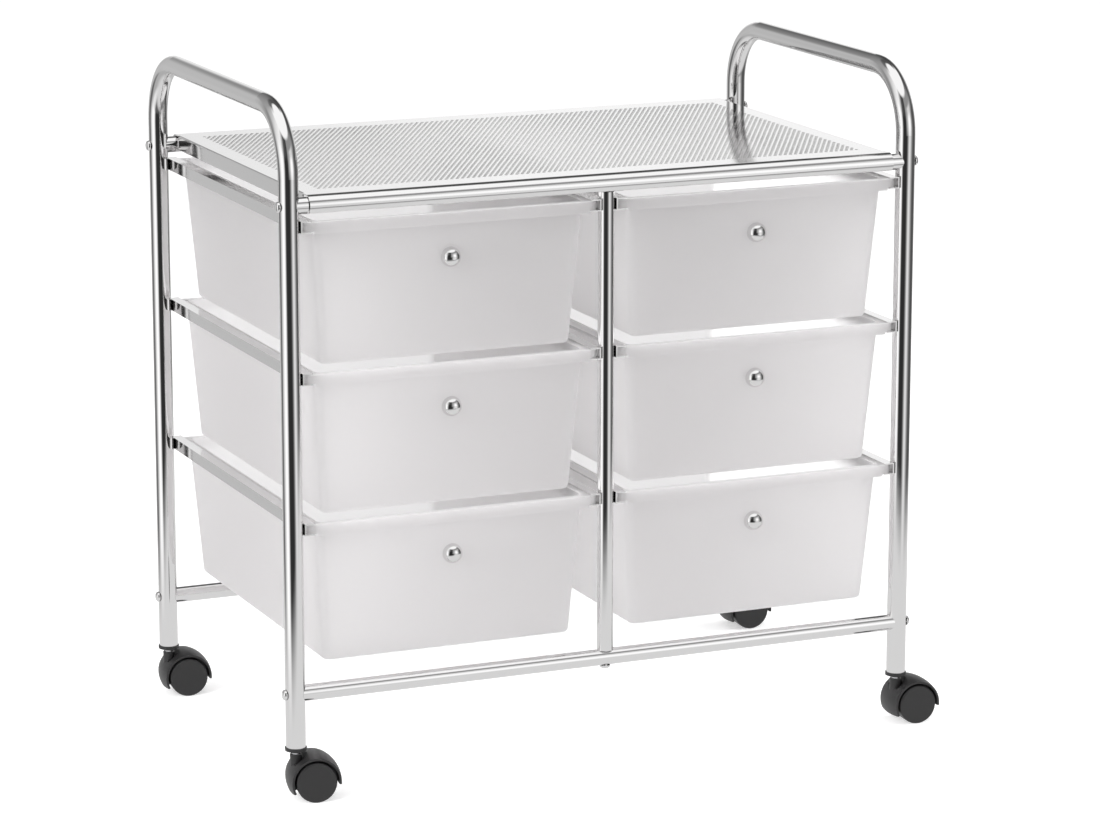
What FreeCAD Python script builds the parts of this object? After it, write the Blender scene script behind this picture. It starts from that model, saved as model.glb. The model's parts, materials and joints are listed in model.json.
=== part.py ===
"""A rolling drawer cart: chrome tube frame, tray top, six plastic drawers and four twin-wheel casters.

Millimetres, +Z up. X runs along the cart's width, the drawers open towards -Y, and the floor is Z = 0.
The origin is on the floor below the middle of the frame.
"""
import FreeCAD, Part
import math
import os
import re
import Sketcher

Vector = FreeCAD.Vector
Rotation = FreeCAD.Rotation

# Driving dimensions: name, value and what it measures
SIZES = [
    # Frame
    ("post_spacing_x", 622.5, "between the axes of the left and right posts"),
    ("post_spacing_y", 371.0, "between the axes of the front and back posts"),
    ("post_tube", 18.5, "outside diameter of the side frames' tube"),
    ("rail_tube", 15.5, "outside diameter of the rails and centre posts"),
    ("tube_wall", 1.2, "wall of every tube"),
    ("bottom_rail_rise", 50.5, "from the posts' lower ends to the axes of the bottom rails"),
    ("handle_rise", 85.5, "from the axes of the top rails to the axis of a handle bar"),
    ("handle_bend", 60.0, "bend radius of the side frames at the tube's axis"),
    ("saddle_depth", 0.4, "how far a centre post's coped end reaches round its rail"),
    ("joint_gap", 0.05, "gap between fixed curved faces that meet"),
    # Screws and their threaded inserts
    ("screw_shank", 6.0, "shank diameter of a frame screw"),
    ("screw_length", 36.0, "length of a frame screw under its head"),
    ("screw_head", 10.0, "head diameter of a frame screw"),
    ("screw_head_height", 3.0, "head height of a frame screw"),
    ("head_edge", 0.6, "height of a frame screw's head below its rounding"),
    ("screw_play", 0.4, "how much wider than the shank a screw hole is"),
    ("access_play", 1.0, "how much wider than the head the access hole in a top rail is"),
    ("insert_length", 40.0, "length of a threaded insert"),
    ("insert_recess", 1.0, "how far an insert starts inside its tube"),
    # Tray
    ("tray_sheet", 1.2, "sheet thickness of the tray"),
    ("tray_slack", 0.6, "gap between the tray and the rails that it hooks over"),
    ("tray_end_gap", 8.0, "gap between the tray and the posts at each side"),
    ("tray_skirt", 14.0, "depth of the tray's side skirts"),
    ("tray_skirt_gap", 2.5, "gap between the ends of the skirts and the top rails"),
    ("tray_hook_angle", 135.0, "how far the tray's front and back edges wrap, in degrees"),
    ("tray_margin_x", 20.0, "plain margin of the tray at each side"),
    ("tray_margin_y", 25.5, "from the axes of the top rails to the tray's openings"),
    ("tray_opening", 24.0, "side of one of the tray's openings, which stand for many small holes"),
    # Runners
    ("runner_height", 11.0, "outside height of a runner's channel"),
    ("runner_flange", 10.0, "outside width of a runner's flanges"),
    ("runner_sheet", 1.0, "sheet thickness of a runner"),
    ("runner_overhang", 6.5, "how far a runner passes the axes of its posts"),
    ("row_pitch", 139.7, "from one row of drawers to the next"),
    ("top_clearance", 5.85, "from the top runners to the underside of the top rails"),
    # Drawers
    ("drawer_clearance", 16.85, "from the bottom rails to the lowest drawers"),
    ("row_gap", 3.3, "from a drawer's underside to the runners below it"),
    ("rim_lip", 8.0, "height of a drawer's rim, which slides in the runners"),
    ("rim_sheet", 2.0, "thickness of the rim's flange and lip"),
    ("rim_corner", 9.0, "corner radius of the rim"),
    ("rim_side_gap", 0.8, "play between the rim and a runner's web"),
    ("rim_rest_gap", 0.3, "play between the rim and the flange that it slides on"),
    ("rim_end_gap", 0.5, "play between the rim and a runner's ends"),
    ("rim_side_overhang", 12.0, "from the rim's side edge to the tub's wall"),
    ("rim_end_overhang", 6.5, "from the rim's front or back edge to the tub's wall"),
    ("front_lip", 10.6, "height of the deeper lip along the drawer's front"),
    ("front_lip_gap", 2.0, "from the front lip's ends to the runners' flanges"),
    ("tub_wall", 2.0, "wall of a drawer"),
    ("tub_draft", 9.7, "how much each wall of a drawer leans in, top to bottom"),
    ("tub_corner", 8.0, "radius of the drawer's upright corners"),
    ("tub_base_corner", 4.5, "radius round the drawer's base"),
    # Knobs
    ("knob_drop", 32.6, "from a runner's underside down to the drawer's knob"),
    ("knob_size", 18.8, "diameter of a knob"),
    ("knob_dome", 9.8, "height of a knob's dome"),
    ("dome_edge", 0.7, "how much less than the largest that fits a knob's rounding is"),
    ("knob_neck", 10.0, "diameter of a knob's neck"),
    ("knob_neck_length", 2.0, "length of a knob's neck"),
    ("knob_screw_shank", 4.0, "shank diameter of a knob's screw"),
    ("knob_screw_reach", 6.5, "how far the screw reaches into its knob"),
    ("knob_screw_head", 8.0, "head diameter of a knob's screw"),
    ("knob_screw_head_height", 2.6, "head height of a knob's screw"),
    ("knob_hole_play", 0.3, "how much wider than the shank the hole in the drawer is"),
    ("knob_hole_reach", 6.0, "how far the drill for that hole runs to each side of the wall's face"),
    # Casters
    ("wheel_size", 38.0, "diameter of a caster wheel"),
    ("wheel_width", 11.6, "width of a caster wheel"),
    ("wheel_side_gap", 0.4, "gap between a wheel and the hood's core"),
    ("wheel_round", 1.8, "rounding of a wheel's edges"),
    ("caster_trail", 16.0, "from the stem's axis to the axle"),
    ("axle_size", 5.0, "diameter of an axle"),
    ("axle_grip", 8.0, "how far an axle reaches into each wheel"),
    ("axle_boss", 15.0, "diameter of the hood's boss round the axle"),
    ("running_gap", 0.05, "gap round a pin that turns in its bore"),
    ("end_play", 0.3, "gap at the end of a pin that turns in its bore"),
    ("fender_gap", 2.2, "from a wheel's tread to the hood over it"),
    ("fender_edge", 2.0, "thickness of the hood at its side edges"),
    ("fender_crown", 1.8, "how much the hood rises between its side edges"),
    ("fender_width", 36.0, "width of the hood along the axle"),
    ("fender_back_angle", 7.0, "how far the hood reaches below the axle at the back, in degrees"),
    ("fender_front_angle", 26.0, "how far the hood reaches below the axle at the front, in degrees"),
    ("hood_core", 14.0, "width of the hood's core between the wheels"),
    ("hood_neck", 11.5, "diameter of the hood's neck round the stem"),
    ("hood_scoop", 21.0, "diameter of the recess round a hood's neck"),
    ("hood_scoop_depth", 8.5, "depth of that recess below the neck's top"),
    ("hood_gap", 1.5, "from the hood's crown to the socket above it"),
    ("stem_size", 8.0, "diameter of a caster stem"),
    ("stem_show", 2.4, "how much of a stem shows between the hood and the socket"),
    ("stem_depth", 18.0, "depth of the hood's bore for the stem"),
    ("socket_flange", 20.4, "diameter of a socket's flange below the tube"),
    ("socket_flange_height", 4.5, "height of a socket's flange"),
    ("socket_taper", 1.5, "height of the tapered part of a socket's flange"),
    ("socket_foot", 13.0, "diameter of a socket's lower end"),
    ("socket_plug", 28.0, "length of the socket inside the tube"),
    ("clip_drop", 8.0, "from the top of a socket to its spring clip"),
    ("clip_height", 2.0, "height of a spring clip"),
    ("clip_depth", 1.0, "how deep a spring clip sits in its stem"),
    ("clip_slit", 2.5, "width of the slit in a spring clip"),
    # Casters at rest, seen from above
    ("front_left_angle", -9.0, "turn of the front left caster, in degrees"),
    ("front_right_angle", -2.0, "turn of the front right caster, in degrees"),
    ("back_left_angle", -5.0, "turn of the back left caster, in degrees"),
    ("back_right_angle", -2.0, "turn of the back right caster, in degrees"),
]

# Values worked out from the driving dimensions
WORKED_OUT = {
    "post_x": "post_spacing_x / 2",
    "post_y": "post_spacing_y / 2",
    "post_side": "post_x - post_tube / 2",
    "post_bore": "post_tube - 2 * tube_wall",
    "rail_bore": "rail_tube - 2 * tube_wall",
    "axle_height": "wheel_size / 2",
    "fender_inside": "wheel_size / 2 + fender_gap",
    "fender_outside": "fender_inside + fender_edge",
    "fender_top": "fender_outside + fender_crown",
    "socket_low": "axle_height + fender_top + hood_gap",
    "neck_top": "socket_low - stem_show",
    "tube_end": "socket_low + socket_flange_height",
    "bottom_rail": "tube_end + bottom_rail_rise",
    "tub_below_runner": "row_pitch - runner_height - row_gap",
    "lowest_runner": "bottom_rail + rail_tube / 2 + drawer_clearance + tub_below_runner",
    "top_rail": "lowest_runner + 2 * row_pitch + runner_height + top_clearance + rail_tube / 2",
    "handle_height": "top_rail + handle_rise",
    "bend_height": "handle_height - handle_bend",
    "tray_under": "top_rail + rail_tube / 2 + tray_slack",
    "tray_half": "post_side - tray_end_gap",
    "field_half_x": "tray_half - tray_margin_x",
    "field_half_y": "post_y - tray_margin_y",
    "runner_half": "post_y + runner_overhang",
    "outer_web": "post_side - joint_gap",
    "inner_web": "rail_tube / 2 + joint_gap",
    "column_x": "(outer_web + inner_web) / 2",
    "rim_half": "(outer_web - inner_web) / 2 - runner_sheet - rim_side_gap",
    "rim_front": "-(runner_half - rim_end_gap)",
    "rim_back": "runner_half - runner_sheet - rim_end_gap",
    "rim_low": "tub_below_runner + runner_sheet + rim_rest_gap",
    "rim_top": "rim_low + rim_lip",
    "tub_half": "rim_half - rim_side_overhang",
    "tub_front": "rim_front + rim_end_overhang",
    "tub_back": "rim_back - rim_end_overhang",
    "knob_height": "tub_below_runner - knob_drop",
    "wheel_inside": "hood_core / 2 + wheel_side_gap",
    "stem_bore": "stem_size + 2 * running_gap",
    "stem_low": "neck_top - stem_depth + end_play",
    "socket_top": "tube_end + socket_plug",
    "clip_low": "socket_top - clip_drop",
}

ROWS = ("bottom", "middle", "top")
COLUMNS = (("left", -1), ("right", 1))
TRAY_COLUMNS = 12
TRAY_ROWS = 8
POSTS = (("front_left", -1, -1), ("front_right", 1, -1), ("back_left", -1, 1), ("back_right", 1, 1))

doc = FreeCAD.newDocument("drawer_cart")
sheet = doc.addObject("Spreadsheet::Sheet", "Sizes")
for row, (name, value, note) in enumerate(SIZES, start=1):
    sheet.set(f"A{row}", note)
    sheet.set(f"B{row}", str(value))
    sheet.setAlias(f"B{row}", name)
doc.recompute()

NEAR = 1e-4  # lengths closer than this count as equal
WORD = re.compile(r"[a-z][a-z_]*")
CELLS = {name for name, _, _ in SIZES}
nodes = []


def formula(text):
    """Spell a formula out until it names only cells of the sheet."""
    def spell(match):
        word = match[0]
        if word in WORKED_OUT:
            return f"({formula(WORKED_OUT[word])})"
        return f"Sizes.{word}" if word in CELLS else word
    return WORD.sub(spell, str(text))


def number(text):
    """The present value of a formula."""
    return float(sheet.evalExpression(formula(text)))


def bind(thing, **sizes):
    """Bind properties of a document object to formulas."""
    for name, text in sizes.items():
        thing.setExpression(name, formula(text))
    return thing


def place(thing, x="0", y="0", z="0", turn=None):
    """Give an object its Placement: a fixed turn, and a base bound to formulas."""
    if turn is not None:
        thing.Placement = FreeCAD.Placement(Vector(), turn)
    for axis, text in (("x", x), ("y", y), ("z", z)):
        thing.setExpression(f"Placement.Base.{axis}", formula(text))
    return thing


def turned(x_to, y_to):
    """The rotation that sends local X and Y to the given directions."""
    x_to = Vector(*x_to)
    y_to = Vector(*y_to)
    return Rotation(x_to, y_to, x_to.cross(y_to), "XYZ")


ALONG_X = turned((0, 1, 0), (0, 0, 1))
ALONG_Y = turned((0, 0, 1), (1, 0, 0))
UPRIGHT = turned((1, 0, 0), (0, 1, 0))
FACE_LEFT = turned((0, 1, 0), (0, 0, -1))
FACE_DOWN = turned((1, 0, 0), (0, -1, 0))


def node(thing, label):
    """Name an object as one of the cart's sub-parts."""
    thing.Label = label
    nodes.append(thing)
    return thing


def box(x, y, z, low_x, low_y, low_z):
    """A box of three sizes with its low corner at a place."""
    solid = bind(doc.addObject("Part::Box", "box"), Length=x, Width=y, Height=z)
    return place(solid, low_x, low_y, low_z)


def rod(size, length, x, y, z, turn=UPRIGHT, angle="360"):
    """A round bar of a diameter and length that starts at a place and runs along its own Z."""
    solid = doc.addObject("Part::Cylinder", "rod")
    bind(solid, Radius=f"({size}) / 2", Height=length, Angle=angle)
    return place(solid, x, y, z, turn)


def join(pieces):
    fused = doc.addObject("Part::MultiFuse", "join")
    fused.Shapes = pieces
    fused.Refine = True
    return fused


def cut(base, tools):
    """Take one or more tools away from a base."""
    result = doc.addObject("Part::Cut", "cut")
    result.Base = base
    result.Tool = tools[0] if len(tools) == 1 else join(tools)
    return result


def rounded(base, radius, wanted):
    """Round every edge of a base that passes a test, at one radius."""
    doc.recompute()
    picked = [i for i, edge in enumerate(base.Shape.Edges, start=1) if wanted(edge)]
    result = doc.addObject("Part::Fillet", "rounded")
    result.Base = base
    result.Edges = [(i, radius, radius) for i in picked]
    return result


def group(label, master, seats):
    """One node of separate like solids: a master and the placements it is repeated at."""
    copies = []
    for x, y, z, turn in seats:
        copy = doc.addObject("App::Link", "copy")
        copy.LinkedObject = master
        copy.LinkTransform = True
        copies.append(place(copy, x, y, z, turn))
    compound = doc.addObject("Part::Compound", label)
    compound.Links = copies
    return node(compound, label)


def new_body(label):
    body = doc.addObject("PartDesign::Body", label)
    body.Label = label
    return body


def new_sketch(body, role, offset=None):
    """A sketch on one of a body's own origin planes."""
    sketch = body.newObject("Sketcher::SketchObject", "sketch")
    plane = next(feature for feature in body.Origin.OriginFeatures if feature.Role == role)
    sketch.AttachmentSupport = (plane, [""])
    sketch.MapMode = "FlatFace"
    if offset is not None:
        sketch.AttachmentOffset = offset
    return sketch


def pin_point(sketch, geometry, end, x, y):
    """Hold a point of a sketch at two formulas from the sketch's origin."""
    for kind, axis, text in (("DistanceX", -2, x), ("DistanceY", -1, y)):
        if text == "0":
            sketch.addConstraint(Sketcher.Constraint("PointOnObject", geometry, end, axis))
            continue
        held = sketch.addConstraint(Sketcher.Constraint(kind, -1, 1, geometry, end, number(text)))
        sketch.setExpression(f"Constraints[{held}]", formula(text))


def outline(sketch, points):
    """A closed outline through pairs of formulas, where a third item bows the next side by that much."""
    corners = [Vector(number(point[0]), number(point[1]), 0) for point in points]
    ends = []
    for i, point in enumerate(points):
        start = corners[i]
        stop = corners[(i + 1) % len(points)]
        if len(point) == 2:
            sketch.addGeometry(Part.LineSegment(start, stop), False)
            ends.append((1, 2))
            continue
        rise = number(point[2])
        span = stop - start
        middle = (start + stop) / 2 + Vector(span.y, -span.x, 0).normalize() * rise
        arc = Part.Arc(start, middle, stop)
        sketch.addGeometry(arc, False)
        ends.append((1, 2) if arc.StartPoint.isEqual(start, NEAR) else (2, 1))
    for i, point in enumerate(points):
        following = (i + 1) % len(points)
        joint = Sketcher.Constraint("Coincident", i, ends[i][1], following, ends[following][0])
        sketch.addConstraint(joint)
        pin_point(sketch, i, ends[i][0], point[0], point[1])
        if len(point) == 3:
            half = f"({points[following][1]} - ({point[1]})) / 2"
            radius = f"(({half}) ^ 2 + ({point[2]}) ^ 2) / (2 * ({point[2]}))"
            held = sketch.addConstraint(Sketcher.Constraint("Radius", i, number(radius)))
            sketch.setExpression(f"Constraints[{held}]", formula(radius))
    return sketch


def ring(sketch, size, x="0", y="0"):
    """A circle of a diameter in a sketch."""
    centre = Vector(number(x), number(y), 0)
    index = sketch.addGeometry(Part.Circle(centre, Vector(0, 0, 1), number(size) / 2), False)
    pin_point(sketch, index, 3, x, y)
    held = sketch.addConstraint(Sketcher.Constraint("Diameter", index, number(size)))
    sketch.setExpression(f"Constraints[{held}]", formula(size))
    return sketch


def pad(body, sketch, length, both_ways=False):
    feature = body.newObject("PartDesign::Pad", "pad")
    feature.Profile = sketch
    feature.SideType = "Symmetric" if both_ways else "One side"
    return bind(feature, Length=length)


def pocket(body, sketch, length, both_ways=False):
    feature = body.newObject("PartDesign::Pocket", "pocket")
    feature.Profile = sketch
    feature.SideType = "Symmetric" if both_ways else "One side"
    return bind(feature, Length=length)


def spin(body, sketch, angle="360"):
    """Turn a sketch about its own upright axis."""
    feature = body.newObject("PartDesign::Revolution", "spin")
    feature.Profile = sketch
    feature.ReferenceAxis = (sketch, ["V_Axis"])
    return bind(feature, Angle=angle)


def turned_piece(label, points):
    """A round piece: an outline of radii and heights, turned about Z."""
    body = new_body(label)
    spin(body, outline(new_sketch(body, "XZ_Plane"), points))
    return body


def soften(body, radius, wanted):
    """Fillet the edges of a body's tip that pass a test."""
    doc.recompute()
    tip = body.Tip
    names = [f"Edge{i}" for i, edge in enumerate(tip.Shape.Edges, start=1) if wanted(edge)]
    feature = body.newObject("PartDesign::Fillet", "soften")
    feature.Base = (tip, names)
    return bind(feature, Radius=radius)


def circle_at(radius, height):
    """A test for a full circle of a radius at a height."""
    def wanted(edge):
        curve = edge.Curve
        if not isinstance(curve, Part.Circle):
            return False
        return abs(curve.Radius - number(radius)) < NEAR and abs(curve.Center.z - number(height)) < NEAR
    return wanted


def upright(edge):
    """A test for an edge whose ends are at different heights."""
    heights = [vertex.Z for vertex in edge.Vertexes]
    return max(heights) - min(heights) > NEAR


# Side frames: posts and handle bar bent from one tube


def bent_tube(size, x):
    """The solid of one diameter along a side frame: up, over the handle and down."""
    post_length = "bend_height - tube_end"
    pieces = [rod(size, post_length, x, f"{side} * post_y", "tube_end") for side in (-1, 1)]
    for side in (-1, 1):
        bend = doc.addObject("Part::Torus", "bend")
        bind(bend, Radius1="handle_bend", Radius2=f"({size}) / 2")
        bend.Angle3 = 90
        turn = turned((0, side, 0), (0, 0, 1))
        pieces.append(place(bend, x, f"{side} * (post_y - handle_bend)", "bend_height", turn))
    bar_length = "post_spacing_y - 2 * handle_bend"
    pieces.append(rod(size, bar_length, x, "-(post_y - handle_bend)", "handle_height", ALONG_Y))
    return join(pieces)


def side_tube(label, side):
    x = f"{side} * post_x"
    start = f"{x} - post_tube"
    holes = [
        rod("screw_shank + screw_play", "2 * post_tube", start, f"{end} * post_y", height, ALONG_X)
        for end in (-1, 1)
        for height in ("bottom_rail", "top_rail")
    ]
    return node(cut(bent_tube("post_tube", x), [bent_tube("post_bore", x), *holes]), label)


for column, side in COLUMNS:
    side_tube(f"{column}_side_tube", side)


# Rails and centre posts


def rail(label, end, height, upper_hole):
    """A cross rail, coped round the posts at both ends and drilled for a centre post's screw."""
    y = f"{end} * post_y"
    start = "-post_x"
    tools = [rod("rail_bore", "post_spacing_x", start, y, height, ALONG_X)]
    for side in (-1, 1):
        low = f"{height} - rail_tube"
        tools.append(rod("post_tube + 2 * joint_gap", "2 * rail_tube", f"{side} * post_x", y, low))
    tools.append(rod("screw_shank + screw_play", "rail_tube", "0", y, f"{height} - rail_tube"))
    tools.append(rod(upper_hole, "rail_tube", "0", y, height))
    return node(cut(rod("rail_tube", "post_spacing_x", start, y, height, ALONG_X), tools), label)


def centre_post(label, end):
    """A post between a bottom rail and a top rail, coped round both."""
    y = f"{end} * post_y"
    low = "bottom_rail + rail_tube / 2 - saddle_depth"
    length = "top_rail - bottom_rail - rail_tube + 2 * saddle_depth"
    tools = [rod("rail_bore", length, "0", y, low)]
    for height in ("bottom_rail", "top_rail"):
        tools.append(rod("rail_tube + 2 * joint_gap", "2 * rail_tube", "-rail_tube", y, height, ALONG_X))
    return node(cut(rod("rail_tube", length, "0", y, low), tools), label)


for end_name, end in (("front", -1), ("back", 1)):
    rail(f"top_{end_name}_rail", end, "top_rail", "screw_head + access_play")
    rail(f"bottom_{end_name}_rail", end, "bottom_rail", "screw_shank + screw_play")
    centre_post(f"{end_name}_centre_post", end)


# Frame screws and the threaded inserts that they turn into

screw = turned_piece("frame_screw", [
    ("0", "-screw_length"),
    ("screw_shank / 2", "-screw_length"),
    ("screw_shank / 2", "0"),
    ("screw_head / 2", "0"),
    ("screw_head / 2", "screw_head_height"),
    ("0", "screw_head_height"),
])
soften(screw, "screw_head_height - head_edge", circle_at("screw_head / 2", "screw_head_height"))

insert = turned_piece("thread_insert", [
    ("screw_shank / 2 + joint_gap", "0"),
    ("rail_bore / 2 - joint_gap", "0"),
    ("rail_bore / 2 - joint_gap", "insert_length"),
    ("screw_shank / 2 + joint_gap", "insert_length"),
])

HEAD_IN_RAIL = "top_rail - sqrt((rail_bore / 2) ^ 2 - (screw_head / 2) ^ 2) + joint_gap"
screw_seats = []
insert_seats = []
for end in (-1, 1):
    y = f"{end} * post_y"
    for height in ("bottom_rail", "top_rail"):
        screw_seats.append(("post_x + post_tube / 2 + joint_gap", y, height, ALONG_X))
        screw_seats.append(("-(post_x + post_tube / 2 + joint_gap)", y, height, FACE_LEFT))
        insert_seats.append(("-(post_side - insert_recess)", y, height, ALONG_X))
        insert_seats.append(("post_side - insert_recess", y, height, FACE_LEFT))
    screw_seats.append(("0", y, "bottom_rail - rail_tube / 2 - joint_gap", FACE_DOWN))
    screw_seats.append(("0", y, HEAD_IN_RAIL, UPRIGHT))
    insert_seats.append(("0", y, "bottom_rail + rail_tube / 2 + insert_recess", UPRIGHT))
    insert_seats.append(("0", y, "top_rail - rail_tube / 2 - insert_recess", FACE_DOWN))
group("frame_screws", screw, screw_seats)
group("thread_inserts", insert, insert_seats)


# Tray: a flat sheet with a grid of openings and side skirts, hooked over the top rails at the front and back

hook_inside = "rail_tube + 2 * tray_slack"
tray_pieces = [
    box("2 * tray_half", "post_spacing_y", "tray_sheet", "-tray_half", "-post_y", "tray_under"),
]
skirt_length = "post_spacing_y - rail_tube - 2 * tray_skirt_gap"
skirt_y = f"-({skirt_length}) / 2"
skirt_low = "tray_under + tray_sheet - tray_skirt"
for side in (-1, 1):
    skirt_x = f"{side} * (tray_half - tray_sheet / 2) - tray_sheet / 2"
    tray_pieces.append(box("tray_sheet", skirt_length, "tray_skirt", skirt_x, skirt_y, skirt_low))
for end in (-1, 1):
    y = f"{end} * post_y"
    wrap = turned((0, 0, 1), (0, end, 0))
    hook_outside = f"{hook_inside} + 2 * tray_sheet"
    hook = rod(hook_outside, "2 * tray_half", f"{end} * tray_half", y, "top_rail", wrap, "tray_hook_angle")
    hollow = rod(hook_inside, "2 * tray_half", "-tray_half", y, "top_rail", ALONG_X)
    tray_pieces.append(cut(hook, [hollow]))
tray_openings = []
step_x = f"(2 * field_half_x - tray_opening) / {TRAY_COLUMNS - 1}"
step_y = f"(2 * field_half_y - tray_opening) / {TRAY_ROWS - 1}"
for column in range(TRAY_COLUMNS):
    for row in range(TRAY_ROWS):
        x = f"{column} * {step_x} - field_half_x"
        y = f"{row} * {step_y} - field_half_y"
        low = "tray_under - tray_sheet"
        tray_openings.append(box("tray_opening", "tray_opening", "3 * tray_sheet", x, y, low))
node(cut(join(tray_pieces), tray_openings), "top_tray")


# Runners: channels fixed to the posts' inner sides, closed at the back as a stop


def runner(label, web_x, facing, row):
    """A channel whose web stands at web_x and whose flanges point along X by facing, 1 or -1."""
    body = new_body(label)
    length = "2 * runner_half"
    flange = f"{facing} * runner_flange"
    sheet_x = f"{facing} * runner_sheet"
    inner_top = "runner_height - runner_sheet"
    channel = outline(new_sketch(body, "XZ_Plane"), [
        ("0", "0"),
        (flange, "0"),
        (flange, "runner_sheet"),
        (sheet_x, "runner_sheet"),
        (sheet_x, inner_top),
        (flange, inner_top),
        (flange, "runner_height"),
        ("0", "runner_height"),
    ])
    pad(body, channel, length)
    stop = outline(new_sketch(body, "XZ_Plane"), [
        ("0", "0"),
        (flange, "0"),
        (flange, "runner_height"),
        ("0", "runner_height"),
    ])
    pad(body, stop, "runner_sheet")
    place(body, web_x, "runner_half", f"lowest_runner + {row} * row_pitch")
    return node(body, label)


for row, row_name in enumerate(ROWS):
    for column, side in COLUMNS:
        runner(f"{row_name}_{column}_outer_runner", f"{side} * outer_web", -side, row)
        runner(f"{row_name}_{column}_inner_runner", f"{side} * inner_web", side, row)


# Drawers with their knobs

LEAN = math.atan2(number("tub_draft"), number("rim_top"))
OUTWARD = Vector(0, -math.cos(LEAN), -math.sin(LEAN))
KNOB_TURN = Rotation(Vector(1, 0, 0), OUTWARD.cross(Vector(1, 0, 0)), OUTWARD, "XYZ")
WALL_THROUGH = f"tub_wall * {math.cos(LEAN)}"


def tub(inset, floor, corner, base_corner, x, z):
    """A tapered tub: the drawer's outside, or with an inset its hollow."""
    solid = doc.addObject("Part::Wedge", "tub")
    share = f"(rim_top - ({floor})) / rim_top"
    low_half = f"tub_half - ({inset}) - tub_draft * {share}"
    low_back = f"tub_back - ({inset}) - tub_draft * {share}"
    low_front = f"tub_front + ({inset}) + tub_draft * {share}"
    bind(solid, Ymin=floor, Ymax="rim_top")
    bind(solid, Xmin=f"-({low_half})", Xmax=low_half, Zmin=f"-({low_back})", Zmax=f"-({low_front})")
    bind(solid, X2min=f"-(tub_half - ({inset}))", X2max=f"tub_half - ({inset})")
    bind(solid, Z2min=f"-(tub_back - ({inset}))", Z2max=f"-(tub_front + ({inset}))")
    place(solid, x, "0", z, Rotation(Vector(1, 0, 0), 90))
    bottom = number(z) + number(floor)

    def at_base(edge):
        return all(abs(vertex.Z - bottom) < NEAR for vertex in edge.Vertexes)

    return rounded(rounded(solid, number(corner), upright), number(base_corner), at_base)


def drawer(label, x, z):
    """A tub with a rim whose lip slides in the runners."""
    depth = "rim_back - (rim_front)"

    def rim_block(inset, height, low):
        block = box(f"2 * (rim_half - {inset})", f"{depth} - 2 * {inset}", height,
                    f"{x} - rim_half + {inset}", f"rim_front + {inset}", f"{z} + {low}")
        return rounded(block, number(f"rim_corner - {inset}"), upright)

    rim_hollow = rim_block("rim_sheet", "rim_lip - rim_sheet", "rim_low")
    rim = cut(rim_block("0", "rim_lip", "rim_low"), [rim_hollow])
    lip_half = "rim_half + rim_side_gap + runner_sheet - runner_flange - front_lip_gap"
    lip = box(f"2 * ({lip_half})", "rim_sheet", "front_lip",
              f"{x} - ({lip_half})", "rim_front", f"{z} + rim_top - front_lip")
    outside = tub("0", "0", "tub_corner", "tub_base_corner", x, z)
    hollow = tub("tub_wall", "tub_wall", "tub_corner - tub_wall", "tub_base_corner - tub_wall", x, z)
    wall_y = "tub_front + tub_draft * (rim_top - knob_height) / rim_top"
    hole_y = f"{wall_y} + knob_hole_reach * {math.cos(LEAN)}"
    hole_z = f"{z} + knob_height + knob_hole_reach * {math.sin(LEAN)}"
    hole = rod("knob_screw_shank + knob_hole_play", "2 * knob_hole_reach", x, hole_y, hole_z, KNOB_TURN)
    node(cut(join([outside, rim, lip]), [hollow, hole]), label)
    return x, wall_y, f"{z} + knob_height"


def knob(label, seat):
    """A domed knob on a short neck, with a blind bore for its screw."""
    bore = "knob_screw_shank / 2 + joint_gap"
    bore_end = "knob_screw_reach + end_play"
    top = "knob_neck_length + knob_dome"
    body = turned_piece(label, [
        (bore, "joint_gap"),
        ("knob_neck / 2", "joint_gap"),
        ("knob_neck / 2", "knob_neck_length"),
        ("knob_size / 2", "knob_neck_length"),
        ("knob_size / 2", top),
        ("0", top),
        ("0", bore_end),
        (bore, bore_end),
    ])
    soften(body, "min(knob_size / 2; knob_dome) - dome_edge", circle_at("knob_size / 2", top))
    place(body, *seat, KNOB_TURN)
    return node(body, label)


def knob_screw(label, seat):
    """A screw from inside the drawer: head on the inner wall, shank through it into the knob."""
    inside = f"-({WALL_THROUGH} + joint_gap)"
    body = turned_piece(label, [
        ("0", f"{inside} - knob_screw_head_height"),
        ("knob_screw_head / 2", f"{inside} - knob_screw_head_height"),
        ("knob_screw_head / 2", inside),
        ("knob_screw_shank / 2", inside),
        ("knob_screw_shank / 2", "knob_screw_reach"),
        ("0", "knob_screw_reach"),
    ])
    place(body, *seat, KNOB_TURN)
    return node(body, label)


for row, row_name in enumerate(ROWS):
    for column, side in COLUMNS:
        prefix = f"{row_name}_{column}"
        base = f"lowest_runner - tub_below_runner + {row} * row_pitch"
        seat = drawer(f"{prefix}_drawer", f"{side} * column_x", base)
        knob(f"{prefix}_knob", seat)
        knob_screw(f"{prefix}_knob_screw", seat)


# Casters: socket, stem and clip fixed in each tube, hood on the stem, wheels on the axle

post_seats = [(f"{side} * post_x", f"{end} * post_y", "0", UPRIGHT) for _, side, end in POSTS]

socket = turned_piece("caster_socket", [
    ("stem_bore / 2", "socket_low"),
    ("socket_foot / 2", "socket_low"),
    ("socket_flange / 2", "socket_low + socket_taper"),
    ("socket_flange / 2", "tube_end - joint_gap"),
    ("post_bore / 2 - joint_gap", "tube_end - joint_gap"),
    ("post_bore / 2 - joint_gap", "socket_top"),
    ("stem_bore / 2", "socket_top"),
])
group("caster_sockets", socket, post_seats)

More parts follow.
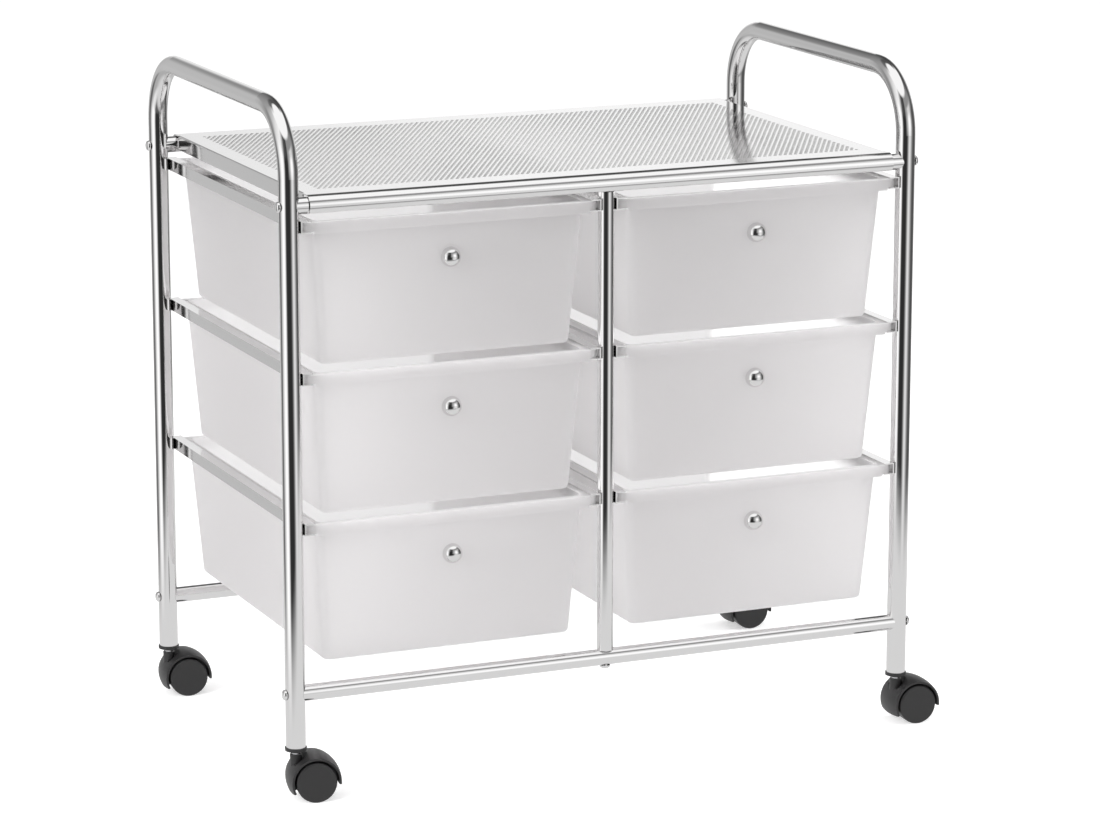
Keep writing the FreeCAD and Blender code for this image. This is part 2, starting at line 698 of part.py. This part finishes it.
stem = turned_piece("caster_stem", [
    ("0", "stem_low"),
    ("stem_size / 2", "stem_low"),
    ("stem_size / 2", "clip_low"),
    ("stem_size / 2 - clip_depth", "clip_low"),
    ("stem_size / 2 - clip_depth", "clip_low + clip_height + 2 * joint_gap"),
    ("stem_size / 2", "clip_low + clip_height + 2 * joint_gap"),
    ("stem_size / 2", "socket_top"),
    ("0", "socket_top"),
])
group("caster_stems", stem, post_seats)

clip_seat = "clip_low + joint_gap"
clip_inside = "stem_size - 2 * clip_depth + 2 * joint_gap"
clip = cut(rod("stem_size", "clip_height", "0", "0", clip_seat), [
    rod(clip_inside, "clip_height", "0", "0", clip_seat),
    box("stem_size", "clip_slit", "clip_height", "0", "-clip_slit / 2", clip_seat),
])
group("stem_clips", clip, post_seats)


def headed(angle, turn=UPRIGHT):
    """A caster's own turn about Z, after the turn that a piece of it has by itself."""
    return Rotation(Vector(0, 0, 1), number(angle)).multiply(turn)


def hood(label, x, y, angle):
    """A crowned fender over both wheels, with a core for the axle and a neck for the stem."""
    body = new_body(label)
    edge = "fender_width / 2"
    core = "hood_core / 2"
    neck_height = "neck_top - axle_height"
    start = FreeCAD.Placement(Vector(), Rotation(Vector(0, 1, 0), number("fender_back_angle")))
    section = outline(new_sketch(body, "XY_Plane", start), [
        ("0", f"-{core}"),
        ("fender_inside", f"-{core}"),
        ("fender_inside", f"-{edge}"),
        ("fender_outside", f"-{edge}", "fender_crown"),
        ("fender_outside", edge),
        ("fender_inside", edge),
        ("fender_inside", core),
        ("0", core),
    ])
    fender = spin(body, section, "180 + fender_back_angle + fender_front_angle")
    fender.Reversed = True
    scoop = ring(new_sketch(body, "XY_Plane"), "hood_scoop", "-caster_trail", "0")
    scoop.setExpression("AttachmentOffset.Base.z", formula("fender_top"))
    pocket(body, scoop, f"fender_top - ({neck_height}) + hood_scoop_depth")
    boss = ring(new_sketch(body, "XZ_Plane"), "axle_boss")
    pad(body, boss, "hood_core", both_ways=True)
    neck = ring(new_sketch(body, "XY_Plane"), "hood_neck", "-caster_trail", "0")
    pad(body, neck, neck_height)
    bore = ring(new_sketch(body, "XY_Plane"), "stem_bore", "-caster_trail", "0")
    bore.setExpression("AttachmentOffset.Base.z", formula(neck_height))
    pocket(body, bore, "stem_depth")
    axle_hole = ring(new_sketch(body, "XZ_Plane"), "axle_size + 2 * joint_gap")
    pocket(body, axle_hole, "2 * hood_core", both_ways=True)
    place(body, x, y, "axle_height", headed(angle))
    return node(body, label)


def along_axle(x, y, angle, reach):
    """A place on a caster's axle, at a signed reach from its middle towards the back."""
    return f"{x} - ({reach}) * sin({angle})", f"{y} + ({reach}) * cos({angle})"


def axle(label, x, y, angle):
    half = "hood_core / 2 + wheel_side_gap + axle_grip"
    start_x, start_y = along_axle(x, y, angle, f"-({half})")
    pin = rod("axle_size", f"2 * ({half})", start_x, start_y, "axle_height", headed(angle, ALONG_Y))
    return node(pin, label)


def wheel(label, x, y, angle, end):
    """A wheel with a closed outer face, turning on an axle in a blind bore."""
    bore = "axle_size / 2 + running_gap"
    bore_end = "axle_grip + end_play"
    body = turned_piece(label, [
        (bore, "0"),
        ("wheel_size / 2", "0"),
        ("wheel_size / 2", "wheel_width"),
        ("0", "wheel_width"),
        ("0", bore_end),
        (bore, bore_end),
    ])
    soften(body, "wheel_round", circle_at("wheel_size / 2", "wheel_width"))
    inner_x, inner_y = along_axle(x, y, angle, f"{end} * wheel_inside")
    outward = headed(angle, turned((0, 0, 1), (end, 0, 0)))
    place(body, inner_x, inner_y, "axle_height", outward)
    return node(body, label)


for post, side, end in POSTS:
    angle = f"{post}_angle"
    axle_x = f"{side} * post_x + caster_trail * cos({angle})"
    axle_y = f"{end} * post_y + caster_trail * sin({angle})"
    hood(f"{post}_caster_hood", axle_x, axle_y, angle)
    axle(f"{post}_caster_axle", axle_x, axle_y, angle)
    wheel(f"{post}_caster_front_wheel", axle_x, axle_y, angle, -1)
    wheel(f"{post}_caster_back_wheel", axle_x, axle_y, angle, 1)


# Check every object, then write one file for each node

doc.recompute()
failed = [thing.Label for thing in doc.Objects if {"Invalid", "Error"} & set(thing.State)]
if failed:
    raise RuntimeError(f"these objects failed: {failed}")
for thing in nodes:
    if thing.Shape.isNull() or not thing.Shape.isValid() or not thing.Shape.Solids:
        raise RuntimeError(f"{thing.Label} has no valid solid")

os.makedirs("parts", exist_ok=True)
for thing in nodes:
    thing.Shape.exportStep(f"parts/{thing.Label}.step")
print(f"{len(nodes)} nodes, {sum(len(thing.Shape.Solids) for thing in nodes)} solids")
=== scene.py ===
"""Finishes, perforated tray and studio of the rolling drawer cart, in metres."""
import json
import math

import bmesh
import bpy
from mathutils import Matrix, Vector


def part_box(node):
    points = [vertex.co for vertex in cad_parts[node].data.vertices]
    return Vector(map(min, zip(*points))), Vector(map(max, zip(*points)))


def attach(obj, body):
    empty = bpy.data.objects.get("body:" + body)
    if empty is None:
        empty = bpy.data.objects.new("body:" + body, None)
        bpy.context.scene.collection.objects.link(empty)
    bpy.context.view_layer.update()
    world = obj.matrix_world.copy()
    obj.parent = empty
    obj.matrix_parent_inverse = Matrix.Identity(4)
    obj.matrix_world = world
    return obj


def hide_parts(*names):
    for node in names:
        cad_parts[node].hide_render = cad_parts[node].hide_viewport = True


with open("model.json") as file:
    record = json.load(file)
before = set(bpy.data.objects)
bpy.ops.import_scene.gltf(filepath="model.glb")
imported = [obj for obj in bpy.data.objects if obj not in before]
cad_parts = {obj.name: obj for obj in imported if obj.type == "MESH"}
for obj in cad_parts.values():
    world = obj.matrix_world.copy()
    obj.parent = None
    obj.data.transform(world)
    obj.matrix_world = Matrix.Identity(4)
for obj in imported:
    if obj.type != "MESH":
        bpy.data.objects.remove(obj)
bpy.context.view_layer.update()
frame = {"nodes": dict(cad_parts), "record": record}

MM = 0.001
NODES = frame["nodes"]


# Materials: roughness runs from smooth to dull, cells are counted in a metre, depths are in metres

PLATE_COLOUR = (0.805, 0.80, 0.80)
STEEL_COLOUR = (0.62, 0.62, 0.63)
PLATE_GLOSS_CELLS = 60
PLATE_WAVE_CELLS = 35
MILKY_COLOUR = (0.765, 0.757, 0.76)
MILKY_LIGHT = (0.97, 0.9655, 0.967)
MILKY_LIGHT_SHARE = 0.88
MILKY_IOR = 1.49
MILKY_ROUGHNESS = (0.30, 0.40)
MILKY_GLOSS_CELLS = 240
MILKY_GRAIN_CELLS = 700
MILKY_GRAIN_DEPTH = 0.00004
BLACK_COLOUR = (0.017, 0.0165, 0.017)
BLACK_IOR = 1.52
BLACK_ROUGHNESS = (0.36, 0.48)
BLACK_GLOSS_CELLS = 300
BLACK_GRAIN_CELLS = 2500
BLACK_GRAIN_DEPTH = 0.00003


def material(name):
    """A new material, its node tree and its shader."""
    made = bpy.data.materials.new(name)
    made.use_nodes = True
    return made, made.node_tree, made.node_tree.nodes["Principled BSDF"]


def place_of(tree):
    """The object's own coordinates in metres."""
    where = tree.nodes.new("ShaderNodeTexCoord")
    return where.outputs["Object"]


def noise(tree, cells):
    """Smooth noise from 0 to 1."""
    made = tree.nodes.new("ShaderNodeTexNoise")
    made.inputs["Scale"].default_value = cells
    tree.links.new(place_of(tree), made.inputs["Vector"])
    return made.outputs["Fac"]


def between(tree, value, low, high):
    """A 0 to 1 value carried to the range from low to high."""
    made = tree.nodes.new("ShaderNodeMapRange")
    made.inputs["To Min"].default_value = low
    made.inputs["To Max"].default_value = high
    tree.links.new(value, made.inputs["Value"])
    return made.outputs["Result"]


def bumps(tree, shader, cells, depth):
    """Unevenness of a surface; gives its normal."""
    made = tree.nodes.new("ShaderNodeBump")
    made.inputs["Strength"].default_value = 1.0
    made.inputs["Distance"].default_value = depth
    tree.links.new(noise(tree, cells), made.inputs["Height"])
    tree.links.new(made.outputs["Normal"], shader.inputs["Normal"])
    return made.outputs["Normal"]


def gloss(tree, shader, cells, smooth, dull):
    """Uneven roughness of a surface."""
    tree.links.new(between(tree, noise(tree, cells), smooth, dull), shader.inputs["Roughness"])


def plated(name, colour, smooth, dull, depth):
    """Bright plated steel."""
    made, tree, shader = material(name)
    shader.inputs["Base Color"].default_value = (*colour, 1)
    shader.inputs["Metallic"].default_value = 1.0
    gloss(tree, shader, PLATE_GLOSS_CELLS, smooth, dull)
    bumps(tree, shader, PLATE_WAVE_CELLS, depth)
    return made


def milky_plastic():
    """Milky polypropylene that lets light through its walls."""
    made, tree, shader = material("milky_plastic")
    shader.inputs["Base Color"].default_value = (*MILKY_COLOUR, 1)
    shader.inputs["IOR"].default_value = MILKY_IOR
    gloss(tree, shader, MILKY_GLOSS_CELLS, *MILKY_ROUGHNESS)
    normal = bumps(tree, shader, MILKY_GRAIN_CELLS, MILKY_GRAIN_DEPTH)
    through = tree.nodes.new("ShaderNodeBsdfTranslucent")
    through.inputs["Color"].default_value = (*MILKY_LIGHT, 1)
    tree.links.new(normal, through.inputs["Normal"])
    mixed = tree.nodes.new("ShaderNodeMixShader")
    mixed.inputs["Fac"].default_value = MILKY_LIGHT_SHARE
    tree.links.new(shader.outputs["BSDF"], mixed.inputs[1])
    tree.links.new(through.outputs["BSDF"], mixed.inputs[2])
    tree.links.new(mixed.outputs["Shader"], tree.nodes["Material Output"].inputs["Surface"])
    return made


def black_plastic():
    """Black nylon with a fine moulded grain."""
    made, tree, shader = material("black_nylon")
    shader.inputs["Base Color"].default_value = (*BLACK_COLOUR, 1)
    shader.inputs["IOR"].default_value = BLACK_IOR
    gloss(tree, shader, BLACK_GLOSS_CELLS, *BLACK_ROUGHNESS)
    bumps(tree, shader, BLACK_GRAIN_CELLS, BLACK_GRAIN_DEPTH)
    return made


CHROME = plated("chrome_plate", PLATE_COLOUR, smooth=0.03, dull=0.06, depth=0.00003)
SHEET_CHROME = plated("chrome_sheet", PLATE_COLOUR, smooth=0.07, dull=0.12, depth=0.00005)
STEEL = plated("bright_steel", STEEL_COLOUR, smooth=0.18, dull=0.28, depth=0.00002)
FINISH = {
    "chrome": CHROME,
    "steel": STEEL,
    "drawer_plastic": milky_plastic(),
    "black_plastic": black_plastic(),
}

for piece in frame["record"]["subparts"]:
    chosen = FINISH[piece["material_slot"]]
    if piece["node"].endswith("_runner"):
        chosen = SHEET_CHROME
    for slot in NODES[piece["node"]].material_slots:
        slot.material = chosen


# Perforated tray: a flat sheet of staggered holes, hooks round the top rails and folded sides

SHEET = 1.2 * MM
HOOK_SLACK = 0.6 * MM
HOOK_WRAP = 135
HOOK_STEPS = 36
FOLD_RADIUS = 2.0 * MM
FOLD_DEPTH = 14.0 * MM
FOLD_CLEAR = 2.5 * MM
FOLD_STEPS = 10
HOLE_PITCH = 5.4 * MM
HOLE_SIZE = 3.1 * MM
HOLE_CORNERS = 6
HOLE_TURN = 30
FIELD_LENGTH = 548 * MM
FIELD_WIDTH = 320 * MM
SHARP_ANGLE = math.radians(30)


def made_object(name, points, faces, surface):
    """A mesh object whose faces run smoothly over shallow edges."""
    mesh = bpy.data.meshes.new(name)
    mesh.from_pydata(points, [], faces)
    mesh.materials.append(surface)
    mesh.polygons.foreach_set("use_smooth", [True] * len(mesh.polygons))
    mesh.set_sharp_from_angle(angle=SHARP_ANGLE)
    mesh.update()
    made = bpy.data.objects.new(name, mesh)
    bpy.context.scene.collection.objects.link(made)
    return made


def hole_centres():
    """Centres of the staggered holes by column and row."""
    step = HOLE_PITCH * math.sqrt(3) / 2
    columns = int(FIELD_LENGTH / HOLE_PITCH) + 1
    rows = int(FIELD_WIDTH / step) + 1
    centres = {}
    for row in range(rows):
        count = columns - row % 2
        for column in range(count):
            x = (column - (count - 1) / 2) * HOLE_PITCH
            centres[column, row] = (x, (row - (rows - 1) / 2) * step)
    return centres


def hole_edges(first):
    """Start and end of each side of the hole whose corners count from first."""
    return [(first + corner, first + (corner + 1) % HOLE_CORNERS) for corner in range(HOLE_CORNERS)]


def either_way(start, end):
    """An edge named alike from both of its ends."""
    return min(start, end), max(start, end)


def webs_between(first):
    """Faces between neighbouring holes; first has each hole's first corner by column and row."""
    webs = []
    for (column, row), a in first.items():
        right = first.get((column + 1, row))
        shift = row % 2
        above_right = first.get((column + shift, row + 1))
        above_left = first.get((column + shift - 1, row + 1))
        if right is not None:
            webs.append((a + 5, right + 3, right + 2, a))
        if above_right is not None:
            webs.append((a, above_right + 4, above_right + 3, a + 1))
        if above_left is not None:
            webs.append((a + 1, above_left + 5, above_left + 4, a + 2))
        if right is not None and above_right is not None:
            webs.append((a, right + 2, above_right + 4))
        if above_right is not None and above_left is not None:
            webs.append((a + 1, above_right + 3, above_left + 5))
    return webs


def perforated_sheet(outline, top):
    """Points and faces of the flat sheet inside the outline, with six-sided holes."""
    centres = hole_centres()
    reach = HOLE_SIZE / math.sqrt(3)
    first = {spot: HOLE_CORNERS * number for number, spot in enumerate(centres)}
    flat = []
    for x, y in centres.values():
        for corner in range(HOLE_CORNERS):
            angle = math.radians(HOLE_TURN + 360 / HOLE_CORNERS * corner)
            flat.append((x + reach * math.cos(angle), y + reach * math.sin(angle)))
    webs = webs_between(first)

    # The rim between the outermost holes and the outline
    used = {}
    for web in webs:
        for start, end in zip(web, web[1:] + web[:1]):
            edge = either_way(start, end)
            used[edge] = used.get(edge, 0) + 1
    inner = []
    for (start, end), count in used.items():
        if count == 1 and start // HOLE_CORNERS != end // HOLE_CORNERS:
            inner.append((start, end))
    for a in first.values():
        for start, end in hole_edges(a):
            if either_way(start, end) not in used:
                inner.append(either_way(start, end))
    rim = bmesh.new()
    here = {}
    for number in sorted({end for edge in inner for end in edge}):
        here[number] = rim.verts.new((*flat[number], 0))
    base = len(flat)
    for number, point in enumerate(outline):
        flat.append(point)
        here[base + number] = rim.verts.new((*point, 0))
    corners = [base + number for number in range(len(outline))]
    border = list(zip(corners, corners[1:] + corners[:1]))
    edges = [rim.edges.new((here[start], here[end])) for start, end in inner + border]
    bmesh.ops.triangle_fill(rim, edges=edges, normal=(0, 0, 1), use_beauty=True)
    number_of = {vert: number for number, vert in here.items()}
    for face in rim.faces:
        turn = [number_of[vert] for vert in face.verts]
        webs.append(tuple(turn if face.normal.z > 0 else reversed(turn)))
    rim.free()

    # Top, underside, hole walls and outer edge
    count = len(flat)
    points = [(x, y, top) for x, y in flat] + [(x, y, top - SHEET) for x, y in flat]
    faces = list(webs)
    faces += [tuple(number + count for number in reversed(web)) for web in webs]
    for a in first.values():
        for start, end in hole_edges(a):
            faces.append((start, end, end + count, start + count))
    for start, end in border:
        faces.append((end, start, start + count, end + count))
    return points, faces


def swept(profile, start, end, put):
    """Points and faces of a closed profile carried from start to end; put makes a point of both."""
    count = len(profile)
    points = [put(spot, start) for spot in profile] + [put(spot, end) for spot in profile]
    faces = [tuple(reversed(range(count))), tuple(range(count, 2 * count))]
    for number in range(count):
        after = (number + 1) % count
        faces.append((number, after, after + count, number + count))
    return points, faces


def arc(centre, radius, start, end, steps):
    """Points of a circle from the start angle to the end angle, in degrees."""
    spots = []
    for number in range(steps + 1):
        angle = math.radians(start + (end - start) * number / steps)
        spots.append((centre[0] + radius * math.cos(angle), centre[1] + radius * math.sin(angle)))
    return spots


def joined(*parts):
    """Several lists of points and faces as one."""
    points, faces = [], []
    for some_points, some_faces in parts:
        faces += [tuple(number + len(points) for number in face) for face in some_faces]
        points += some_points
    return points, faces


def outwards(points, faces):
    """The same faces, all turned to the outside."""
    shape = bmesh.new()
    verts = [shape.verts.new(point) for point in points]
    for face in faces:
        shape.faces.new([verts[number] for number in face])
    bmesh.ops.recalc_face_normals(shape, faces=list(shape.faces))
    shape.verts.index_update()
    turned = [tuple(vert.index for vert in face.verts) for face in shape.faces]
    shape.free()
    return points, turned


def tray():
    """The whole tray in the place of its plain sheet."""
    high = Vector(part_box("top_tray")[1])
    rail_low, rail_high = (Vector(corner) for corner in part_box("top_front_rail"))
    rail_radius = (rail_high.z - rail_low.z) / 2
    hook_y = -(rail_low.y + rail_high.y) / 2
    hook_z = (rail_low.z + rail_high.z) / 2
    inside = rail_radius + HOOK_SLACK
    outside = inside + SHEET
    hook_end = 90 - HOOK_WRAP
    end = high.x
    top = high.z
    fold_end = hook_y - rail_radius - FOLD_CLEAR
    bend = end - FOLD_RADIUS
    outline = [
        (-end, -hook_y), (end, -hook_y), (end, -fold_end), (bend, -fold_end),
        (bend, fold_end), (end, fold_end), (end, hook_y), (-end, hook_y),
        (-end, fold_end), (-bend, fold_end), (-bend, -fold_end), (-end, -fold_end),
    ]
    hook = arc((hook_y, hook_z), outside, 90, hook_end, HOOK_STEPS)
    hook += arc((hook_y, hook_z), inside, hook_end, 90, HOOK_STEPS)
    fold = arc((bend, top - FOLD_RADIUS), FOLD_RADIUS, 90, 0, FOLD_STEPS)
    fold += [(end, top - FOLD_DEPTH), (end - SHEET, top - FOLD_DEPTH)]
    fold += arc((bend, top - FOLD_RADIUS), FOLD_RADIUS - SHEET, 0, 90, FOLD_STEPS)
    parts = [perforated_sheet(outline, top)]
    for side in (-1, 1):
        across = swept(hook, -end, end, lambda spot, x: (x, side * spot[0], spot[1]))
        along = swept(fold, -fold_end, fold_end, lambda spot, y: (side * spot[0], y, spot[1]))
        parts += [outwards(*across), outwards(*along)]
    made = made_object("perforated_tray", *joined(*parts), SHEET_CHROME)
    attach(made, "frame")
    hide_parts("top_tray")


tray()


# Studio: floor, lamps and sky for the cart's colours,
# and a painted dome and a table top that only reflections show

DOME_RADIUS = 6.0
DOME_HEIGHT = 0.3
DOME_STEPS = 64
BRIGHTEST = 1.3
TABLE_LEVEL = 0.80
TABLE_PLAIN = 0.72
TABLE_EDGE = 1.25
TABLE_SPOT = (0.2, 0.0, 0.0)
TABLE_STEPS = 64
FLOOR_REACH = 30.0
FLOOR_COLOUR = (0.84, 0.84, 0.84, 1)
FLOOR_SHINE = (0.45, 0.45, 0.45, 1)
FLOOR_ROUGHNESS = 0.9
SKY_EDGE = 1.38
SKY_TOP = 0.35
LAMP_AIM = (0, 0, 0.3)

# Each lamp with its place, its size and its watts
LAMPS = (
    ("key_lamp", (-2.8, -1.2, 1.5), 1.6, 72),
    ("right_lamp", (2.4, -0.3, 1.1), 2.0, 38),
    ("back_lamp", (0.3, 2.4, 1.1), 2.0, 6),
)

# Levels of the dome's paint by heading in degrees, 0 at the front and 90 at +X,
# from the lowest band to the highest
DEEP_BAND = (
    (-180, 0.50), (-112, 0.50), (-90, 1.00), (-70, 0.90), (-54, 0.15), (-10, 0.10), (10, 0.25),
    (45, 0.28), (70, 0.12), (105, 0.15), (120, 0.40), (140, 0.60), (180, 0.50),
)
LOW_BAND = (
    (-180, 0.55), (-160, 0.60), (-152, 0.55), (-146, 0.27), (-135, 0.12), (-122, 0.20), (-112, 0.50),
    (-100, 0.90), (-90, 1.20), (-72, 1.25), (-62, 0.95), (-54, 0.20), (-46, 0.035), (-12, 0.03),
    (-3, 0.08), (6, 0.30), (18, 0.80), (28, 0.95), (38, 0.70), (50, 0.35), (65, 0.12),
    (85, 0.08), (105, 0.15), (120, 0.40), (140, 0.60), (180, 0.50),
)
MID_BAND = (
    (-180, 0.50), (-157, 0.58), (-135, 0.30), (-122, 0.40), (-110, 0.80), (-90, 1.20), (-72, 1.25),
    (-60, 0.90), (-52, 0.20), (-45, 0.03), (-18, 0.03), (-9, 0.30), (0, 0.50), (8, 0.70),
    (18, 1.20), (32, 1.25), (40, 0.95), (50, 0.40), (65, 0.12), (85, 0.08), (105, 0.20),
    (125, 0.70), (140, 1.00), (157, 1.04), (170, 0.80), (180, 0.50),
)
HIGH_BAND = (
    (-180, 0.22), (-160, 0.32), (-135, 0.40), (-100, 0.90), (-75, 1.10), (-58, 0.50), (-45, 0.10),
    (-18, 0.05), (-8, 0.35), (5, 0.45), (20, 0.80), (40, 0.80), (60, 0.40), (90, 0.10),
    (120, 0.07), (150, 0.07), (180, 0.22),
)
UPPER_BAND = (
    (-180, 0.22), (-135, 0.40), (-100, 0.90), (-75, 1.10), (-58, 0.50), (-45, 0.10), (-18, 0.05),
    (-8, 0.33), (20, 0.33), (60, 0.33), (90, 0.10), (150, 0.07), (180, 0.22),
)
TOP_BAND = (
    (-180, 0.10), (-140, 0.20), (-110, 1.15), (112, 1.15), (122, 0.50), (132, 0.10), (180, 0.10),
)
OVERHEAD = ((-180, 1.15), (180, 1.15))

# Each band with the heights, as shares of the radius, over which it takes over from the one below it
BANDS = (
    (LOW_BAND, -0.42, -0.30),
    (MID_BAND, -0.12, 0.12),
    (HIGH_BAND, 0.28, 0.47),
    (UPPER_BAND, 0.52, 0.60),
    (TOP_BAND, 0.74, 0.82),
    (OVERHEAD, 0.88, 0.93),
)


def worked(tree, kind, *values):
    """A sum, product and the like of some values, each a socket or a number."""
    made = tree.nodes.new("ShaderNodeMath")
    made.operation = kind
    for socket, value in zip(made.inputs, values):
        if isinstance(value, (int, float)):
            socket.default_value = value
        else:
            tree.links.new(value, socket)
    return made.outputs["Value"]


def rising(tree, value, low, high):
    """0 below the low value, 1 above the high one and smooth between them."""
    made = tree.nodes.new("ShaderNodeMapRange")
    made.interpolation_type = "SMOOTHSTEP"
    made.inputs["From Min"].default_value = low
    made.inputs["From Max"].default_value = high
    tree.links.new(value, made.inputs["Value"])
    return made.outputs["Result"]


def band(tree, heading, stops):
    """Levels by heading as a ramp."""
    made = tree.nodes.new("ShaderNodeValToRGB")
    steps = made.color_ramp.elements
    while len(steps) < len(stops):
        steps.new(0.5)
    for step, (angle, level) in zip(steps, stops):
        share = level / BRIGHTEST
        step.position = (angle + 180) / 360
        step.color = (share, share, share, 1)
    tree.links.new(heading, made.inputs["Fac"])
    return made.outputs["Color"]


def blended(tree, share, first, second):
    """One colour carried over into another."""
    made = tree.nodes.new("ShaderNodeMix")
    made.data_type = "RGBA"
    tree.links.new(share, made.inputs["Factor"])
    tree.links.new(first, made.inputs["A"])
    tree.links.new(second, made.inputs["B"])
    return made.outputs["Result"]


def shining(name):
    """A material that only shines, its node tree and its emission."""
    made = bpy.data.materials.new(name)
    made.use_nodes = True
    tree = made.node_tree
    tree.nodes.remove(tree.nodes["Principled BSDF"])
    shine = tree.nodes.new("ShaderNodeEmission")
    tree.links.new(shine.outputs["Emission"], tree.nodes["Material Output"].inputs["Surface"])
    return made, tree, shine


def only_reflected(thing):
    """Keeps a studio piece out of everything but reflections."""
    thing.visible_camera = False
    thing.visible_diffuse = False
    thing.visible_transmission = False
    thing.visible_shadow = False
    thing.visible_volume_scatter = False


def dome():
    """The painted dome round the cart."""
    made, tree, shine = shining("dome_paint")
    parts = tree.nodes.new("ShaderNodeSeparateXYZ")
    tree.links.new(place_of(tree), parts.inputs["Vector"])
    front = worked(tree, "MULTIPLY", parts.outputs["Y"], -1.0)
    turn = worked(tree, "ARCTAN2", parts.outputs["X"], front)
    heading = worked(tree, "MULTIPLY_ADD", turn, 1 / math.tau, 0.5)
    height = worked(tree, "DIVIDE", parts.outputs["Z"], DOME_RADIUS)
    paint = band(tree, heading, DEEP_BAND)
    for stops, start, end in BANDS:
        paint = blended(tree, rising(tree, height, start, end), paint, band(tree, heading, stops))
    tree.links.new(paint, shine.inputs["Color"])
    shine.inputs["Strength"].default_value = BRIGHTEST
    shape = bmesh.new()
    bmesh.ops.create_uvsphere(
        shape, u_segments=DOME_STEPS, v_segments=DOME_STEPS // 2, radius=DOME_RADIUS)
    mesh = bpy.data.meshes.new("dome")
    shape.to_mesh(mesh)
    shape.free()
    mesh.materials.append(made)
    thing = bpy.data.objects.new("dome", mesh)
    thing.location.z = DOME_HEIGHT
    bpy.context.scene.collection.objects.link(thing)
    only_reflected(thing)


def table():
    """The bright table top round the cart's feet, fading out to its edge."""
    made, tree, shine = shining("table_shine")
    shine.inputs["Strength"].default_value = TABLE_LEVEL
    span = tree.nodes.new("ShaderNodeVectorMath")
    span.operation = "LENGTH"
    tree.links.new(place_of(tree), span.inputs["Vector"])
    mixed = tree.nodes.new("ShaderNodeMixShader")
    clear = tree.nodes.new("ShaderNodeBsdfTransparent")
    tree.links.new(rising(tree, span.outputs["Value"], TABLE_PLAIN, TABLE_EDGE), mixed.inputs["Fac"])
    tree.links.new(shine.outputs["Emission"], mixed.inputs[1])
    tree.links.new(clear.outputs["BSDF"], mixed.inputs[2])
    tree.links.new(mixed.outputs["Shader"], tree.nodes["Material Output"].inputs["Surface"])
    ring = [(x, y, 0.0) for x, y in arc((0, 0), TABLE_EDGE, 0, 360, TABLE_STEPS)[:-1]]
    thing = made_object("table", ring, [tuple(range(TABLE_STEPS))], made)
    thing.location = TABLE_SPOT
    only_reflected(thing)


def floor():
    """White floor that keeps the cart's shadow and shines for the camera alone."""
    made, tree, shader = material("white_floor")
    shader.inputs["Base Color"].default_value = FLOOR_COLOUR
    shader.inputs["Roughness"].default_value = FLOOR_ROUGHNESS
    shader.inputs["Specular IOR Level"].default_value = 0.0
    shader.inputs["Emission Color"].default_value = FLOOR_SHINE
    path = tree.nodes.new("ShaderNodeLightPath")
    tree.links.new(path.outputs["Is Camera Ray"], shader.inputs["Emission Strength"])
    size = FLOOR_REACH
    points = [(-size, -size, 0), (size, -size, 0), (size, size, 0), (-size, size, 0)]
    thing = made_object("floor", points, [(0, 1, 2, 3)], made)
    thing.visible_glossy = False


def lamp(name, spot, size, watts):
    """A square softbox that lights the cart."""
    light = bpy.data.lights.new(name, "AREA")
    light.size = size
    light.energy = watts
    made = bpy.data.objects.new(name, light)
    bpy.context.scene.collection.objects.link(made)
    made.location = spot
    made.rotation_euler = (Vector(LAMP_AIM) - Vector(spot)).to_track_quat("-Z", "Y").to_euler()
    made.visible_camera = False
    made.visible_glossy = False


def sky():
    """White sky, brightest at the horizon."""
    made = bpy.data.worlds.new("white_studio")
    made.use_nodes = True
    tree = made.node_tree
    shine = tree.nodes["Background"]
    shine.inputs["Color"].default_value = (1, 1, 1, 1)
    where = tree.nodes.new("ShaderNodeTexCoord")
    parts = tree.nodes.new("ShaderNodeSeparateXYZ")
    tree.links.new(where.outputs["Generated"], parts.inputs["Vector"])
    tree.links.new(between(tree, parts.outputs["Z"], SKY_EDGE, SKY_TOP), shine.inputs["Strength"])
    bpy.context.scene.world = made


dome()
table()
floor()
for one in LAMPS:
    lamp(*one)
sky()


# Camera

AIM = Vector((0.02345, 0.0, 0.29681))
YAW = math.radians(23.3226)
PITCH = math.radians(12.8731)
DISTANCE = 4.15128
SENSOR_WIDTH = 36.0
LENS = 139.007
CLIP_END = 100

camera = bpy.data.cameras.new("camera")
camera.sensor_fit = "HORIZONTAL"
camera.sensor_width = SENSOR_WIDTH
camera.lens = LENS
camera.clip_end = CLIP_END
eye = bpy.data.objects.new("camera", camera)
bpy.context.scene.collection.objects.link(eye)
look = Vector((
    math.sin(YAW) * math.cos(PITCH),
    math.cos(YAW) * math.cos(PITCH),
    -math.sin(PITCH),
))
eye.location = AIM - DISTANCE * look
eye.rotation_euler = look.to_track_quat("-Z", "Y").to_euler()
bpy.context.scene.camera = eye
bpy.context.scene.view_settings.view_transform = "Standard"
